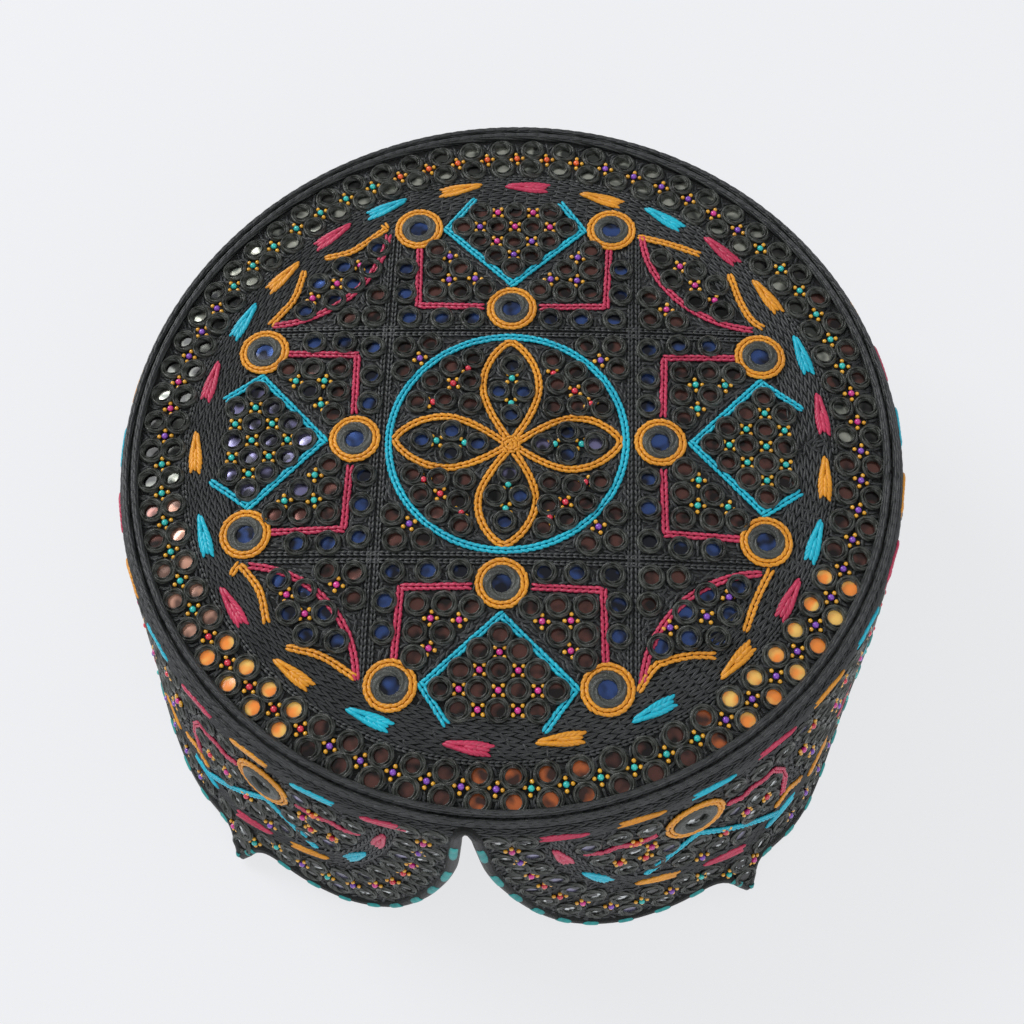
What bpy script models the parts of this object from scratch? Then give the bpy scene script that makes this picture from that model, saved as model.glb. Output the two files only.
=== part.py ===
# Sindhi cap: a round embroidered cap with a stitched wall, a pointed front arch and a bound rim.
# Metres, +Z up. The arch faces -Y and the cap stands on its rim at z = 0.
import math
from collections import namedtuple

import bmesh
import bpy
from mathutils import Matrix, Vector

# Overall form
CAP_HEIGHT = 0.0665          # crown centre above the floor
CROWN_RADIUS = 0.0836        # round top cloth, to the seam
DOME_RISE = 0.0047           # crown centre above the seam
SHOULDER_RADIUS = 0.0046     # rounded edge between the crown and the wall
RIM_FLARE = 0.0065           # the rim is this much wider than the shoulder
CLOTH = 0.0020               # quilted cloth of crown and wall
GAP = 0.0003                 # clearance between touching pieces

# Creased corners of the rim, one on each side of the arch
CORNER_TURN = math.radians(36)
CORNER_SWELL = 0.0060
CORNER_WIDTH = math.radians(20)
TIP_REACH = 0.0035
TIP_WIDTH = math.radians(3.1)

# Rim binding
BINDING_HEIGHT = 0.0028
BINDING_PROUD = 0.0006
BINDING_CHAMFER = 0.0005

# Piping round the crown
PIPING_RADIUS = 0.0007
PIPING_SPACING = 0.0018

# Crown embroidery, laid out in a square that is turned a little from the arch
PATTERN_TURN = math.radians(3.9)
PATTERN_SHIFT = -0.0010      # towards the arch
INNER_PLACE = 0.0340         # inner roundels, on the square's axes
OUTER_PLACE = 0.0567         # outer roundels, along the axes
OUTER_SIDE = 0.0228          # outer roundels, beside the axes
RING_RADIUS = 0.0049         # centre line of a roundel's amber cord
RING_CORD = 0.00065
MIRROR_THICKNESS = 0.0009
WALL_RING_SCALE = 1.25       # the wall's roundels are larger than the crown's
CIRCLE_RADIUS = 0.0264
BRAID_RADIUS = 0.0007
PETAL_START = 0.0026
PETAL_TIP = 0.0247
PETAL_HALF_WIDTH = 0.0062
ARC_CENTRE = 0.0570
ARC_RADIUS = 0.0270

# Wall roundels
WALL_ROUNDELS = 6
FIRST_ROUNDEL_TURN = math.radians(31.2)
ROUNDEL_DEPTH = 0.0187       # down the wall from the seam, along the cloth

# Mesh fineness
TURN_STEPS = 48
ROUNDEL_STEPS = 12
WALL_ROWS = 5
LEAST_STEP = 0.0009

# The rim's edge on one side, from the arch's point to the back. The turn is in degrees, the
# reach is a share of the wall's length from the seam down to the floor, and steps is how many
# pieces the stretch to the next row is cut into.
RimRow = namedtuple("RimRow", "turn reach steps")
RIM_ROWS = (
    RimRow(0.0, 0.084, 2), RimRow(0.5, 0.115, 2), RimRow(0.9, 0.211, 4), RimRow(2.0, 0.434, 4),
    RimRow(4.3, 0.632, 4), RimRow(7.6, 0.818, 4), RimRow(12.1, 0.955, 4), RimRow(18.4, 1.0, 3),
    RimRow(25.8, 0.951, 3), RimRow(31.4, 0.895, 3), RimRow(33.5, 0.901, 5), RimRow(36.0, 1.0, 5),
    RimRow(38.5, 0.900, 3), RimRow(41.5, 0.930, 4), RimRow(51.0, 1.0, 14), RimRow(180.0, 1.0, 0),
)

# One teal diamond of an edge square, open towards the crown's edge: across and along the axis.
BraidPoint = namedtuple("BraidPoint", "across along")
DIAMOND_END_SIDE = 0.0103
DIAMOND_END_PLACE = 0.0652
DIAMOND_WIDE_SIDE = 0.0162
DIAMOND_WIDE_PLACE = 0.0566
DIAMOND_TIP_PLACE = 0.0410
DIAMOND_POINTS = (
    BraidPoint(-DIAMOND_END_SIDE, DIAMOND_END_PLACE), BraidPoint(-DIAMOND_WIDE_SIDE, DIAMOND_WIDE_PLACE),
    BraidPoint(0.0, DIAMOND_TIP_PLACE),
    BraidPoint(DIAMOND_WIDE_SIDE, DIAMOND_WIDE_PLACE), BraidPoint(DIAMOND_END_SIDE, DIAMOND_END_PLACE),
)

SEAM_RADIUS = CROWN_RADIUS + GAP
SEAM_HEIGHT = CAP_HEIGHT - DOME_RISE
SHOULDER_LENGTH = SHOULDER_RADIUS * math.pi / 2
WALL_TOP = SEAM_HEIGHT - SHOULDER_RADIUS
WALL_LENGTH = SHOULDER_LENGTH + WALL_TOP
WALL_RADIUS = SEAM_RADIUS + SHOULDER_RADIUS
LAP = 2 * math.pi * WALL_RADIUS

THREAD_BLACK = ("black thread", (0.022, 0.023, 0.025), 0.75, 0.0)
THREAD_AMBER = ("amber thread", (0.62, 0.27, 0.015), 0.55, 0.0)
THREAD_TEAL = ("teal thread", (0.010, 0.42, 0.55), 0.55, 0.0)
THREAD_MAGENTA = ("magenta thread", (0.48, 0.035, 0.09), 0.55, 0.0)
MIRROR_GLASS = ("mirror glass", (0.05, 0.07, 0.14), 0.08, 1.0)


def clear_scene():
    for old in list(bpy.data.objects):
        bpy.data.objects.remove(old, do_unlink=True)


def material(recipe):
    name, colour, roughness, metallic = recipe
    made = bpy.data.materials.get(name)
    if made is None:
        made = bpy.data.materials.new(name)
        made.use_nodes = True
        shader = made.node_tree.nodes["Principled BSDF"]
        shader.inputs["Base Color"].default_value = (*colour, 1.0)
        shader.inputs["Roughness"].default_value = roughness
        shader.inputs["Metallic"].default_value = metallic
        made.diffuse_color = (*colour, 1.0)
    return made


def add_part(name, mesh, recipe, parent=None):
    part = bpy.data.objects.new(name, mesh)
    part.data.materials.clear()
    part.data.materials.append(material(recipe))
    bpy.data.collections["sindhi_cap"].objects.link(part)
    part.parent = parent
    return part


def mesh_from(name, build):
    mesh = bpy.data.meshes.new(name)
    shape = bmesh.new()
    build(shape)
    bmesh.ops.recalc_face_normals(shape, faces=shape.faces)
    shape.to_mesh(mesh)
    shape.free()
    mesh.shade_smooth()
    mesh.set_sharp_from_angle(angle=math.radians(40))
    return mesh


def loft(name, rings):
    """A closed body through closed rings of points that themselves run round in a loop."""
    def build(shape):
        rows = [[shape.verts.new(point) for point in ring] for ring in rings]
        for here, ahead in zip(rows, rows[1:] + rows[:1]):
            for i in range(len(here)):
                j = (i + 1) % len(here)
                shape.faces.new((here[i], here[j], ahead[j], ahead[i]))
    return mesh_from(name, build)


# The crown's surface

def dome_height(radius):
    return CAP_HEIGHT - DOME_RISE * (radius / CROWN_RADIUS) ** 2


def dome_normal(x, y):
    slope = 2 * DOME_RISE / CROWN_RADIUS ** 2
    return Vector((slope * x, slope * y, 1)).normalized()


def on_crown(across, along, lift):
    """A point of the embroidery square, raised off the cloth by lift."""
    turned = Matrix.Rotation(PATTERN_TURN, 3, "Z") @ Vector((across, along, 0))
    x = turned.x
    y = turned.y + PATTERN_SHIFT
    foot = Vector((x, y, dome_height(math.hypot(x, y))))
    return foot + dome_normal(x, y) * lift


# The wall's surface: turn is the angle from the arch, reach the length down the cloth

def corner_swell(turn, drop):
    away = abs(math.remainder(turn, 2 * math.pi)) - CORNER_TURN
    wide = CORNER_SWELL * drop ** 1.5 * math.exp(-(away / CORNER_WIDTH) ** 2)
    tip = TIP_REACH * drop ** 4 * math.exp(-(away / TIP_WIDTH) ** 2)
    return wide + tip


def on_wall(turn, reach, out=0.0):
    lean = min(reach / SHOULDER_RADIUS, math.pi / 2)
    radius = SEAM_RADIUS + (SHOULDER_RADIUS + out) * math.sin(lean)
    height = WALL_TOP + (SHOULDER_RADIUS + out) * math.cos(lean)
    drop = max(0.0, (reach - SHOULDER_LENGTH) / WALL_TOP)
    radius += RIM_FLARE * drop + corner_swell(turn, drop)
    height -= drop * WALL_TOP
    return Vector((radius * math.sin(turn), -radius * math.cos(turn), height))


# The rim's line on the flattened wall: x is the turn times the wall's radius, y the reach

def rim_points():
    """The rim's edge as points on a smooth curve through the table."""
    knots = [Vector((math.radians(row.turn) * WALL_RADIUS, row.reach * WALL_LENGTH)) for row in RIM_ROWS]
    points = []
    for i in range(len(knots) - 1):
        a, b = knots[i], knots[i + 1]
        before = knots[i - 1] if i > 0 else Vector((-knots[1].x, knots[1].y))
        after = knots[i + 2] if i + 2 < len(knots) else b + (b - a)
        level = a.y == b.y
        count = RIM_ROWS[i].steps
        for k in range(count):
            points.append(a.lerp(b, k / count) if level else smooth_between(before, a, b, after, k / count))
    points.append(knots[-1])
    return points


def smooth_between(before, a, b, after, t):
    """A cubic from a to b whose slopes are limited, so that it keeps inside its knots."""
    chord = b - a
    start = limited((b - before) / 2, chord)
    end = limited((after - a) / 2, chord)
    t2 = t * t
    t3 = t2 * t
    return a * (2 * t3 - 3 * t2 + 1) + start * (t3 - 2 * t2 + t) + b * (3 * t2 - 2 * t3) + end * (t3 - t2)


def limited(slope, chord):
    length = min(slope.length, 1.2 * chord.length)
    return slope.normalized() * length if slope.length else slope


def inset_line(points, distance):
    """The rim's line moved into the cloth by distance, with what would fold over left out."""
    mirrored = [Vector((-p.x, p.y)) for p in points[40:0:-1]]
    line = mirrored + points
    candidates = []
    for i in range(1, len(line) - 1):
        before = (line[i] - line[i - 1]).normalized()
        after = (line[i + 1] - line[i]).normalized()
        bend = before.angle_signed(after, 0.0)
        fans = max(1, round(abs(bend) / math.radians(25)))
        for k in range(fans):
            heading = before.lerp(after, (k + 0.5) / fans).normalized()
            candidates.append(line[i] + Vector((heading.y, -heading.x)) * distance)
    kept = [p for p in candidates if p.x > 1e-5 and clear_of(p, line, distance)]
    apex = Vector((0.0, points[0].y - distance))
    back = Vector((points[-1].x, points[-1].y - distance))
    spaced = [apex]
    for p in sorted(kept, key=lambda point: point.x):
        if (p - spaced[-1]).length > LEAST_STEP and p.x > spaced[-1].x + 1e-5:
            spaced.append(p)
    return [p for p in spaced if p.x < back.x - LEAST_STEP] + [back]


def clear_of(point, line, distance):
    for a, b in zip(line, line[1:]):
        along = b - a
        share = max(0.0, min(1.0, (point - a).dot(along) / along.length_squared))
        if (point - (a + along * share)).length < distance * 0.995:
            return False
    return True


def both_sides(half):
    """One lap of the rim: the half from the arch to the back, then its mirror image."""
    return half + [Vector((LAP - p.x, p.y)) for p in half[-2:0:-1]]


# The pieces

def make_crown_panel():
    reach = CROWN_RADIUS
    steps = (0.0, 0.25, 0.5, 0.75, 1.0)
    top = [(reach * s, dome_height(reach * s)) for s in steps]
    under = [(x, z - CLOTH) for x, z in reversed(top)]
    mesh = bpy.data.meshes.new("crown_panel")
    points = [(x, 0.0, z) for x, z in top + under]
    mesh.from_pydata(points, [(i, i + 1) for i in range(len(points) - 1)], [])
    part = add_part("crown_panel", mesh, THREAD_BLACK)
    screw = part.modifiers.new("Turn", "SCREW")
    screw.steps = TURN_STEPS
    screw.render_steps = TURN_STEPS
    screw.use_merge_vertices = True
    screw.merge_threshold = 0.00005


def make_piping():
    lift = PIPING_RADIUS + GAP
    for name, reach in (("piping_inner", 0.0), ("piping_outer", PIPING_SPACING)):
        centre = on_wall(0.0, reach, lift)
        bpy.ops.mesh.primitive_torus_add(
            major_segments=TURN_STEPS, minor_segments=6, major_radius=-centre.y,
            minor_radius=PIPING_RADIUS, location=(0, 0, centre.z))
        adopt(name, THREAD_BLACK)


def adopt(name, recipe, parent=None):
    """Names the object that an operator has just added and puts it in the cap's collection."""
    part = bpy.context.object
    part.name = name
    part.data.name = name
    for home in list(part.users_collection):
        home.objects.unlink(part)
    bpy.data.collections["sindhi_cap"].objects.link(part)
    part.data.materials.append(material(recipe))
    part.data.shade_smooth()
    part.data.set_sharp_from_angle(angle=math.radians(60))
    part.parent = parent
    return part


def make_side_wall():
    edge = inset_line(rim_points(), BINDING_HEIGHT + GAP)
    rings = []
    for place in both_sides(edge):
        turn = place.x / WALL_RADIUS
        shares = wall_shares(place.y)
        outer = [on_wall(turn, place.y * s) for s in shares]
        inner = [on_wall(turn, place.y * s, -CLOTH) for s in reversed(shares)]
        rings.append(outer + inner)
    add_part("side_wall", loft("side_wall", rings), THREAD_BLACK)


def wall_shares(length):
    """Rows down one column of the wall: three over the shoulder and the rest below it."""
    bend = min(SHOULDER_LENGTH / length, 0.5)
    below = WALL_ROWS - 2
    return [0.0, bend / 2] + [bend + (1 - bend) * k / below for k in range(below + 1)]


def make_rim_binding():
    middle = inset_line(rim_points(), BINDING_HEIGHT / 2)
    half = BINDING_HEIGHT / 2
    low = -CLOTH - BINDING_PROUD
    cut = BINDING_CHAMFER
    section = (
        (half, low + cut), (half, BINDING_PROUD - cut), (half - cut, BINDING_PROUD),
        (cut - half, BINDING_PROUD), (-half, BINDING_PROUD - cut), (-half, low + cut),
        (cut - half, low), (half - cut, low),
    )
    line = both_sides(middle)
    before = [line[-1] - Vector((LAP, 0))] + line[:-1]
    after = line[1:] + [line[0] + Vector((LAP, 0))]
    rings = []
    for last, place, following in zip(before, line, after):
        heading = (following - last).normalized()
        across = Vector((-heading.y, heading.x))
        ring = []
        for side, out in section:
            spot = place + across * side
            ring.append(on_wall(spot.x / WALL_RADIUS, spot.y, out))
        rings.append(ring)
    add_part("rim_binding", loft("rim_binding", rings), THREAD_BLACK)


def add_roundel(kind, label, spot, normal, scale, parent=None):
    """A corded ring and the mirror inside it, lying on the cloth at spot."""
    facing = normal.to_track_quat("Z", "Y")
    cord = RING_CORD * scale
    bpy.ops.mesh.primitive_torus_add(
        major_segments=ROUNDEL_STEPS, minor_segments=5, major_radius=RING_RADIUS * scale, minor_radius=cord)
    ring = adopt(f"{kind}_ring_{label}", THREAD_AMBER, parent)
    ring.location = spot + normal * (cord + GAP)
    ring.rotation_euler = facing.to_euler()
    glass = (RING_RADIUS - RING_CORD) * scale - GAP
    bpy.ops.mesh.primitive_cylinder_add(vertices=ROUNDEL_STEPS, radius=glass, depth=MIRROR_THICKNESS)
    mirror = adopt(f"{kind}_mirror_{label}", MIRROR_GLASS, parent)
    mirror.location = spot + normal * (MIRROR_THICKNESS / 2 + GAP)
    mirror.rotation_euler = facing.to_euler()


def make_crown_roundels():
    for side in range(4):
        turn = Matrix.Rotation(side * math.pi / 2, 3, "Z")
        places = ((0.0, INNER_PLACE), (-OUTER_SIDE, OUTER_PLACE), (OUTER_SIDE, OUTER_PLACE))
        for number, (across, along) in enumerate(places, start=1):
            place = turn @ Vector((across, along, 0))
            spot = on_crown(place.x, place.y, 0.0)
            add_roundel("crown", f"{side + 1}_{number}", spot, dome_normal(spot.x, spot.y), 1.0)


def make_wall_roundels():
    spacing = (2 * math.pi - 2 * FIRST_ROUNDEL_TURN) / (WALL_ROUNDELS - 1)
    for i in range(WALL_ROUNDELS):
        turn = FIRST_ROUNDEL_TURN + i * spacing
        spot = on_wall(turn, ROUNDEL_DEPTH)
        along = on_wall(turn, ROUNDEL_DEPTH + 0.001) - spot
        sideways = on_wall(turn + 0.01, ROUNDEL_DEPTH) - spot
        normal = along.cross(sideways).normalized()
        add_roundel("wall", str(i + 1), spot, normal, WALL_RING_SCALE)


def add_braid(name, points, recipe, closed):
    """A couched cord lying on the crown, through points given as across and along."""
    curve = bpy.data.curves.new(name, "CURVE")
    curve.dimensions = "3D"
    curve.bevel_depth = BRAID_RADIUS
    curve.bevel_resolution = 1
    curve.use_fill_caps = True
    spline = curve.splines.new("POLY")
    spline.points.add(len(points) - 1)
    for knot, (across, along) in zip(spline.points, points):
        knot.co = (*on_crown(across, along, BRAID_RADIUS + GAP), 1.0)
    spline.use_cyclic_u = closed
    add_part(name, curve, recipe)


def make_braids():
    ring = [(CIRCLE_RADIUS * math.cos(a), CIRCLE_RADIUS * math.sin(a))
            for a in (2 * math.pi * k / TURN_STEPS for k in range(TURN_STEPS))]
    add_braid("circle_braid", ring, THREAD_TEAL, True)
    for side in range(4):
        turn = Matrix.Rotation(side * math.pi / 2, 2)
        label = str(side + 1)
        add_braid(f"petal_braid_{label}", turned_by(turn, petal_outline()), THREAD_AMBER, True)
        add_braid(f"diamond_braid_{label}", turned_by(turn, DIAMOND_POINTS), THREAD_TEAL, False)
        add_braid(f"arc_braid_{label}", turned_by(turn, corner_arc()), THREAD_MAGENTA, False)


def turned_by(turn, points):
    return [tuple(turn @ Vector(p)) for p in points]


def petal_outline():
    """A pointed petal along +Y, out along one side and back along the other."""
    steps = 7
    length = PETAL_TIP - PETAL_START
    out = [(PETAL_HALF_WIDTH * math.sin(math.pi * k / steps), PETAL_START + length * k / steps)
           for k in range(steps)]
    back = [(-PETAL_HALF_WIDTH * math.sin(math.pi * k / steps), PETAL_START + length * k / steps)
            for k in range(steps, 0, -1)]
    return out + back


def corner_arc():
    """The arc of a corner field, hollow towards the crown's edge."""
    return [(ARC_CENTRE - ARC_RADIUS * math.cos(a), ARC_CENTRE - ARC_RADIUS * math.sin(a))
            for a in (math.radians(5 + 80 * k / 8) for k in range(9))]


def stand_on_origin():
    """Moves the whole cap so that its box's bottom centre is the origin."""
    bpy.context.view_layer.update()
    graph = bpy.context.evaluated_depsgraph_get()
    wall = bpy.data.objects["rim_binding"].evaluated_get(graph)
    along = [corner[1] for corner in wall.bound_box]
    middle = (min(along) + max(along)) / 2
    base = bpy.data.objects.new("cap_base", None)
    bpy.data.collections["sindhi_cap"].objects.link(base)
    for part in bpy.data.collections["sindhi_cap"].objects:
        if part.parent is None and part != base:
            part.parent = base
    base.location.y = -middle


def main():
    clear_scene()
    home = bpy.data.collections.new("sindhi_cap")
    bpy.context.scene.collection.children.link(home)
    make_crown_panel()
    make_piping()
    make_side_wall()
    make_rim_binding()
    make_crown_roundels()
    make_wall_roundels()
    make_braids()
    stand_on_origin()


main()
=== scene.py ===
import random
from math import atan2, cos, degrees, exp, hypot, pi, radians, remainder, sin

import bpy
from mathutils import Matrix, Vector
from mathutils.kdtree import KDTree


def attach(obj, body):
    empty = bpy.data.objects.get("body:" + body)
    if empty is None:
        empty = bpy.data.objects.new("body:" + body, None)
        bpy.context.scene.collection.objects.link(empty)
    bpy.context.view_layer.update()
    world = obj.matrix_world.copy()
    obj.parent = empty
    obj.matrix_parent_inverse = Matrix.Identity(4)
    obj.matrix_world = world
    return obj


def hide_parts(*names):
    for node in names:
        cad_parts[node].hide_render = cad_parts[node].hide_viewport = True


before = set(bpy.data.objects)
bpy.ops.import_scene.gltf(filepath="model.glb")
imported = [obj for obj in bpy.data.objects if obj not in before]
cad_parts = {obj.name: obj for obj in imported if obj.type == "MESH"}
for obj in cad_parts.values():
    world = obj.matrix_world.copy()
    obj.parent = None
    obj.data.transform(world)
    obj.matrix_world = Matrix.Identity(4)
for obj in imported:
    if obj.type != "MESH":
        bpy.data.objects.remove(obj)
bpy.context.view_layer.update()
dice = random.Random(7)
print("Frame loaded:", len(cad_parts), "nodes")

# The cap's form, the same as the solids'. Lengths in millimetres, angles in degrees.
cap = {
    "height": 66.5, "crownRadius": 83.6, "domeRise": 4.7, "shoulder": 4.6, "gap": 0.3,
    "flare": 6.5, "cornerTurn": 36.0, "cornerSwell": 6.0, "cornerWidth": 20.0,
    "tipReach": 3.5, "tipWidth": 3.1, "cloth": 2.0, "binding": 2.8,
    "patternTurn": 3.9, "patternShift": -1.0, "shiftY": -0.6,
    "wallSink": 0.6, "crownSink": 0.5,  # the ground lies this far in, and the stitches fill it up again
    "rimTwist": 1.8, "rightTuck": 4.4,  # the rim hangs a little to the right, and that side is drawn in
}
seamRadius = cap["crownRadius"] + cap["gap"]
shoulderLength = cap["shoulder"] * pi / 2
wallTop = cap["height"] - cap["domeRise"] - cap["shoulder"]
wallLength = shoulderLength + wallTop
wallRadius = seamRadius + cap["shoulder"]
mmPerDegree = radians(wallRadius)

# The rim from the arch's point to the back: turn, and reach as a share of the wall's length
rimKnots = [
    (0.0, 0.084), (0.5, 0.115), (0.9, 0.211), (2.0, 0.434), (4.3, 0.632), (7.6, 0.818), (12.1, 0.955),
    (18.4, 1.0), (25.8, 0.951), (31.4, 0.895), (33.5, 0.901), (36.0, 1.0), (38.5, 0.900), (41.5, 0.930),
    (51.0, 1.0), (180.0, 1.0),
]


# Places on the cap. Every place is two numbers and a lift off the cloth.

def crownSpot(x, y, lift=0.0):
    # x and y are millimetres in the embroidery square, y away from the arch
    turned = Matrix.Rotation(radians(cap["patternTurn"]), 2) @ Vector((x, y))
    px, py = turned.x, turned.y + cap["patternShift"]
    bend = cap["domeRise"] / cap["crownRadius"] ** 2
    normal = Vector((2 * bend * px, 2 * bend * py, 1)).normalized()
    foot = Vector((px, py + cap["shiftY"], cap["height"] - bend * (px * px + py * py)))
    return (foot + normal * (lift - cap["crownSink"])) / 1000


def wallSpot(turn, reach, out=0.0):
    # turn is degrees from the arch, reach is millimetres down the cloth from the crown's seam
    out -= cap["wallSink"]
    lean = max(0.0, min(reach / cap["shoulder"], pi / 2))
    radius = seamRadius + (cap["shoulder"] + out) * sin(lean)
    height = wallTop + (cap["shoulder"] + out) * cos(lean)
    drop = max(0.0, (reach - shoulderLength) / wallTop)
    away = abs(remainder(turn, 360)) - cap["cornerTurn"]
    radius -= cap["rightTuck"] * drop * exp(-((remainder(turn, 360) - 69) / 18) ** 2)
    twist = cap["rimTwist"] * drop * exp(-(away / 20) ** 2)
    radius += cap["flare"] * drop
    radius += cap["cornerSwell"] * drop ** 1.5 * exp(-(away / cap["cornerWidth"]) ** 2)
    radius += cap["tipReach"] * drop ** 4 * exp(-(away / cap["tipWidth"]) ** 2)
    height -= drop * wallTop
    angle = radians(turn + twist)
    return Vector((radius * sin(angle), -radius * cos(angle) + cap["shiftY"], height)) / 1000


def wideOf(spot):
    # millimetres in one unit of a place's first number
    return 1.0 if spot is crownSpot else mmPerDegree


def frameAt(spot, a, b, headA, headB, lift):
    # a matrix that lays a part on the cloth: x along the heading, z off the cloth
    step = 0.05  # millimetres, to feel the slope of the cloth
    here = spot(a, b, lift)
    scale = step / wideOf(spot)
    alongA = spot(a + scale, b, lift) - here
    alongB = spot(a, b + step, lift) - here
    normal = alongA.cross(alongB).normalized()
    if spot is wallSpot:
        normal.negate()
        headA /= mmPerDegree
    heading = (alongA / scale * headA + alongB / step * headB).normalized()
    heading = (heading - normal * heading.dot(normal)).normalized()
    side = normal.cross(heading)
    return Matrix.Translation(here) @ Matrix((heading, side, normal)).transposed().to_4x4()


def walk(spot, corners, pitch, lift, offset=0.0, closed=False, start=0.0):
    # matrices at an even pitch along a line through the corners, moved sideways by offset
    wide = wideOf(spot)
    flat = [Vector((a * wide, b)) for a, b in corners]
    if closed:
        flat.append(flat[0].copy())
    places = []
    left = start
    for p, q in zip(flat, flat[1:]):
        way = q - p
        long = way.length
        if long < 1e-6:
            continue  # two corners in one place
        way /= long
        while left < long:
            at = p + way * left + Vector((-way.y, way.x)) * offset
            cover(spot, at.x / wide, at.y, 1.0)
            places.append(frameAt(spot, at.x / wide, at.y, way.x, way.y, lift))
            left += pitch
        left -= long
    return places


def smooth(corners, pieces=6):
    # a curve through the corners
    points = []
    last = len(corners) - 1
    for i in range(last):
        p = [Vector(corners[max(0, min(last, i + k))]) for k in (-1, 0, 1, 2)]
        for k in range(pieces):
            t = k / pieces
            points.append(tuple(0.5 * (2 * p[1] + (p[2] - p[0]) * t
                                       + (2 * p[0] - 5 * p[1] + 4 * p[2] - p[3]) * t ** 2
                                       + (3 * p[1] - p[0] - 3 * p[2] + p[3]) * t ** 3)))
    return points + [tuple(corners[-1])]


def quarterTurns(points):
    # the same points on all four sides of the square
    turns = [Matrix.Rotation(side * pi / 2, 2) for side in range(4)]
    return [[tuple(turn @ Vector(p)) for p in points] for turn in turns]


def circlePoints(a, b, radius, count=40, wide=1.0):
    return [(a + radius * cos(2 * pi * k / count) / wide, b + radius * sin(2 * pi * k / count))
            for k in range(count)]


# Work on objects

covered = {crownSpot: [], wallSpot: []}  # what is stitched already: place in millimetres, and radius
groundSlot = {crownSpot: "crown_cloth", wallSpot: "wall_cloth"}


def cover(spot, a, b, radius):
    covered[spot].append((a * wideOf(spot), b, radius))


def jitter(most):
    return dice.uniform(-most, most)


def spun(angle, axis="Z"):
    return Matrix.Rotation(angle, 4, axis)


def startClean():
    bpy.ops.object.select_all(action="DESELECT")


def pick(*pieces):
    # only these are selected, and the first is the active one
    startClean()
    for piece in pieces:
        piece.select_set(True)
    bpy.context.view_layer.objects.active = pieces[0]


def justAdded(name):
    piece = bpy.context.object
    piece.name = name
    return piece


def discard(piece):
    bpy.data.objects.remove(piece, do_unlink=True)


def shadeSmooth(piece, angle=80):
    pick(piece)
    bpy.ops.object.shade_smooth_by_angle(angle=radians(angle))


def copiesOf(template, places, name):
    # copies of one modelled shape, each with its own mesh, joined to one piece
    made = []
    for place in places:
        twin = template.copy()
        twin.data = template.data.copy()
        twin.data.transform(place)
        bpy.context.collection.objects.link(twin)
        made.append(twin)
    pick(*made)
    if len(made) > 1:
        bpy.ops.object.join()
    piece = justAdded(name)
    piece.data.name = name
    return piece


def dress(piece, material, slot, *nodes):
    piece.data.materials.clear()
    piece.data.materials.append(material)
    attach(piece, "root")
    if nodes:
        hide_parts(*nodes)


def lay(template, places, name, material, slot, *nodes):
    # one finished piece of many copies
    dress(copiesOf(template, places, name), material, slot, *nodes)


# Materials

def linear(hexText):
    values = [int(hexText[i:i + 2], 16) / 255 for i in (1, 3, 5)]
    return tuple(v / 12.92 if v <= 0.04045 else ((v + 0.055) / 1.055) ** 2.4 for v in values) + (1.0,)


def addNode(tree, kind, settings=None, links=None):
    # settings go by name or by the input's number; a link from a node takes its first output
    node = tree.nodes.new("ShaderNode" + kind)
    for key, value in (settings or {}).items():
        if isinstance(key, str) and hasattr(node, key):
            setattr(node, key, value)
        else:
            node.inputs[key].default_value = value
    for key, source in (links or {}).items():
        tree.links.new(getattr(source, "outputs", (source,))[0], node.inputs[key])
    return node


def startMaterial(name, base, roughness, settings=None):
    material = bpy.data.materials.new(name)
    material.use_nodes = True
    tree = material.node_tree
    shader = tree.nodes["Principled BSDF"]
    for socket, value in {"Base Color": linear(base), "Roughness": roughness, **(settings or {})}.items():
        shader.inputs[socket].default_value = value
    return material, tree, shader


def finishSurface(tree, shader, tone, low, high, height=None, strength=1.0, depth=0.001):
    # the colour goes from low to high with the tone, and the relief follows the height, in metres
    mix = addNode(tree, "Mix", {"data_type": "RGBA", 6: linear(low), 7: linear(high)}, {0: tone})
    tree.links.new(mix.outputs[2], shader.inputs["Base Color"])
    if height is not None:
        bump = addNode(tree, "Bump", {"Strength": strength, "Distance": depth}, {"Height": height})
        tree.links.new(bump.outputs[0], shader.inputs["Normal"])


def flossMaterial(name, low, high, roughness, around, along, depth, sheen=0.04):
    # Stranded cotton floss, six loose strands laid side by side, with a soft silky shine along each strand.
    # Its colour is partly painted: painted shade as a dark line between strands and painted sheen on their
    # backs, over random patches of tone. The strands follow the part's own UV map.
    material, tree, shader = startMaterial(name, high, roughness, {"Sheen Weight": sheen})
    place = addNode(tree, "TexCoord").outputs["Object"]
    split = addNode(tree, "SeparateXYZ", None, {0: addNode(tree, "UVMap")})
    first = addNode(tree, "Math", {"operation": "MULTIPLY", 1: around * 2 * pi}, {0: split})
    second = addNode(tree, "Math", {"operation": "MULTIPLY_ADD", 1: along * 2 * pi},
                     {0: split.outputs[1], 2: first})
    wave = addNode(tree, "Math", {"operation": "SINE"}, {0: second})
    fuzz = addNode(tree, "TexNoise", {"Scale": 2600.0, "Detail": 3.0}, {"Vector": place})
    patch = addNode(tree, "TexNoise", {"Scale": 140.0, "Detail": 2.0}, {"Vector": place})
    height = addNode(tree, "Math", {"operation": "MULTIPLY_ADD", 1: 0.35}, {0: wave, 2: fuzz})
    # painted shade and sheen: the strands' wave darkens the furrows and lightens the backs; the patches are
    # random tone
    tone = addNode(tree, "Math", {"operation": "MULTIPLY_ADD", 1: 0.14, "use_clamp": True},
                   {0: wave, 2: patch})
    finishSurface(tree, shader, tone, low, high, height, 0.8, depth)
    return material


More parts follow.
